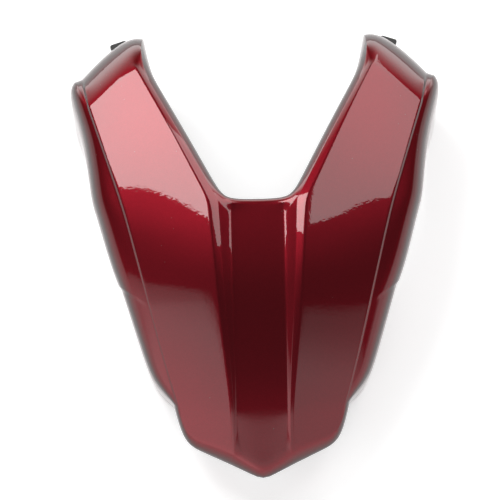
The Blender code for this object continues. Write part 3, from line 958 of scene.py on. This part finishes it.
camera_data = bpy.data.cameras.new("camera")
camera_data.sensor_width = SENSOR
camera_data.lens = SENSOR * DISTANCE / (PIXEL * IMAGE_WIDTH)
camera_data.clip_start = NEAREST
camera = bpy.data.objects.new("camera", camera_data)
bpy.context.scene.collection.objects.link(camera)
turn = Matrix.Rotation(0.5 * math.pi - ELEVATION, 4, "X") @ Matrix.Rotation(ROLL, 4, "Z")
camera.matrix_world = Matrix.Translation(TARGET) @ turn @ Matrix.Translation((SIDE_STEP, 0.0, DISTANCE))
bpy.context.scene.camera = camera
print("lens:", round(camera_data.lens, 1), "mm")

# %% [markdown]
# Gloss shows the room more than the object, so the studio is built from what the lacquer mirrors. The floor
# comes first. It is a plain pale sheet that takes the part's shadow, and it glows a little, but only towards
# the camera and in mirror images, so it looks white without throwing more light on the part.

# %% The floor
FLOOR_SIZE = 12.0
FLOOR_GLOW = 0.50
FLOOR_COLOUR = (0.8, 0.8, 0.8, 1.0)
FLOOR_ROUGHNESS = 0.9
FLOOR_SPECULAR = 0.1
WHITE = (1.0, 1.0, 1.0, 1.0)


def floor_material():
    """A pale floor that looks white to the camera and in reflections and still takes the shadow."""
    material = bpy.data.materials.new("white sweep")
    material.use_nodes = True
    tree = material.node_tree
    shader = tree.nodes["Principled BSDF"]
    shader.inputs["Base Color"].default_value = FLOOR_COLOUR
    shader.inputs["Roughness"].default_value = FLOOR_ROUGHNESS
    shader.inputs["Specular IOR Level"].default_value = FLOOR_SPECULAR
    shader.inputs["Emission Color"].default_value = WHITE
    path = node(tree, "ShaderNodeLightPath", (-900, -200))
    mirrored = math_node(
        tree, "MAXIMUM", (-700, -200), path.outputs["Is Glossy Ray"], path.outputs["Is Transmission Ray"],
    )
    seen = math_node(tree, "MAXIMUM", (-500, -200), path.outputs["Is Camera Ray"], mirrored)
    glow = math_node(tree, "MULTIPLY", (-300, -200), seen, FLOOR_GLOW)
    tree.links.new(glow, shader.inputs["Emission Strength"])
    return material


floor_mesh = bmesh.new()
bmesh.ops.create_grid(floor_mesh, x_segments=1, y_segments=1, size=0.5 * FLOOR_SIZE)
floor = make_object("floor", floor_mesh)
floor.data.materials.append(floor_material())
print("floor:", FLOOR_SIZE, "m")

# %% [markdown]
# Each horn's panel mirrors one softbox high in front of it, the left one the stronger. A softbox is placed by
# where it has to be mirrored: how far it leans to the side and to the front from straight overhead, in
# degrees, and its distance in metres. Then come its width and height, its roll in degrees, and its level, the
# brightness of its face, where 1 is white.

# %% The softboxes
SOFTBOXES = (
    ("left softbox", -29.6, 32.8, 2.15, 0.80, 1.11, 25.5, 7.4),
    ("right softbox", 30.5, 39.2, 1.27, 0.90, 0.57, -27.5, 3.1),
)
LAMP_AIM = Vector((0.0, 0.0, 0.05))


def softbox(name, side_lean, front_lean, distance, width, height, roll, level):
    """A rectangular lamp that faces the part."""
    lean = math.radians(math.hypot(side_lean, front_lean))
    round_turn = math.atan2(side_lean, front_lean)
    out = math.sin(lean)
    direction = Vector((out * math.sin(round_turn), out * math.cos(round_turn), math.cos(lean)))
    data = bpy.data.lights.new(name, "AREA")
    data.shape = "RECTANGLE"
    data.size = width
    data.size_y = height
    data.energy = level * width * height * math.pi
    lamp = bpy.data.objects.new(name, data)
    across = Vector((0, 0, 1)).cross(direction).normalized()
    up = direction.cross(across)
    facing = Matrix((across, up, direction)).transposed().to_4x4()
    place = Matrix.Translation(LAMP_AIM + direction * distance)
    lamp.matrix_world = place @ facing @ Matrix.Rotation(math.radians(roll), 4, "Z")
    bpy.context.scene.collection.objects.link(lamp)
    return lamp


for row in SOFTBOXES:
    print(softbox(*row).name, "at level", row[-1])

# %% [markdown]
# The rest of the room is the world: a direction goes in and a brightness comes out. x is to the side, y to
# the front and z up, so each glow is made of smooth fades along them. Overhead the room is dark, which leaves
# the middle of the panels their own deep red. Low in front it glows, which draws the soft white band along
# the nose. Behind the part hangs a pale card on each side, whose slightly slanted front edge shows as a line
# across the rear of the panels. The cards grow stronger towards the tail, and below the camera they meet.
# All round, the horizon is white.

# %% The room
ROOM_DARK = 0.06
HORIZON_LEVEL = 1.0
FRONT_LEVEL_LEFT = 3.6
FRONT_LEVEL_RIGHT = 3.2
REAR_LEVEL_LEFT = 1.6
REAR_LEVEL_RIGHT = 1.05
HORIZON_TOP = (0.10, 0.24)
FRONT_START = (0.55, 0.75)
FRONT_TOP = (0.12, 0.50)
FRONT_BLEND = (-0.3, 0.3)
CARD_SLANT = 0.1
CARD_EDGE = (-0.135, -0.095)
CARD_FADE = (-0.30, -0.12)
CARD_LEAST = 0.4
CARD_INNER_EDGE = (0.53, 0.58)
CARDS_MEET = (-0.56, -0.42)
REAR_BLEND = (-0.4, 0.0)


def room_brightness(tree):
    """Brightness of the room by direction."""
    coordinates = node(tree, "ShaderNodeTexCoord", (-1700, 0))
    split = node(tree, "ShaderNodeSeparateXYZ", (-1500, 0))
    tree.links.new(coordinates.outputs["Generated"], split.inputs[0])
    x, y, z = split.outputs
    side = math_node(tree, "ABSOLUTE", (-1300, 200), x, 0.0)
    horizon = fade(tree, (-1100, 500), z, *HORIZON_TOP, HORIZON_LEVEL, 0.0)
    front = fade(tree, (-1100, 300), y, *FRONT_START, 0.0, 1.0)
    low = fade(tree, (-1100, 100), z, *FRONT_TOP, 1.0, 0.0)
    front_level = fade(tree, (-1100, -100), x, *FRONT_BLEND, FRONT_LEVEL_LEFT, FRONT_LEVEL_RIGHT)
    across = math_node(tree, "MULTIPLY", (-1500, -300), x, CARD_SLANT)
    along_card = math_node(tree, "ADD", (-1300, -300), y, across)
    card_edge = fade(tree, (-1100, -300), along_card, *CARD_EDGE, 1.0, 0.0)
    card_fade = fade(tree, (-1100, -400), along_card, *CARD_FADE, 1.0, CARD_LEAST)
    beside_camera = math_node(tree, "MULTIPLY", (-900, -300), card_edge, card_fade)
    off_middle = fade(tree, (-1100, -500), side, *CARD_INNER_EDGE, 0.0, 1.0)
    below_camera = fade(tree, (-1100, -700), y, *CARDS_MEET, 1.0, 0.0)
    rear_level = fade(tree, (-1100, -900), x, *REAR_BLEND, REAR_LEVEL_LEFT, REAR_LEVEL_RIGHT)
    front = math_node(tree, "MULTIPLY", (-800, 200), front, low)
    front = math_node(tree, "MULTIPLY", (-600, 200), front, front_level)
    rear = math_node(tree, "MULTIPLY", (-800, -400), beside_camera, off_middle)
    rear = math_node(tree, "MAXIMUM", (-600, -400), rear, below_camera)
    rear = math_node(tree, "MULTIPLY", (-400, -400), rear, rear_level)
    either = math_node(tree, "MAXIMUM", (-400, 0), front, rear)
    glow = math_node(tree, "MAXIMUM", (-200, 0), either, horizon)
    return math_node(tree, "ADD", (0, 0), glow, ROOM_DARK)


world = bpy.data.worlds.new("studio")
world.use_nodes = True
background = world.node_tree.nodes["Background"]
world.node_tree.links.new(room_brightness(world.node_tree), background.inputs["Color"])
bpy.context.scene.world = world
bpy.context.scene.view_settings.view_transform = "Standard"
print("world nodes:", len(world.node_tree.nodes))
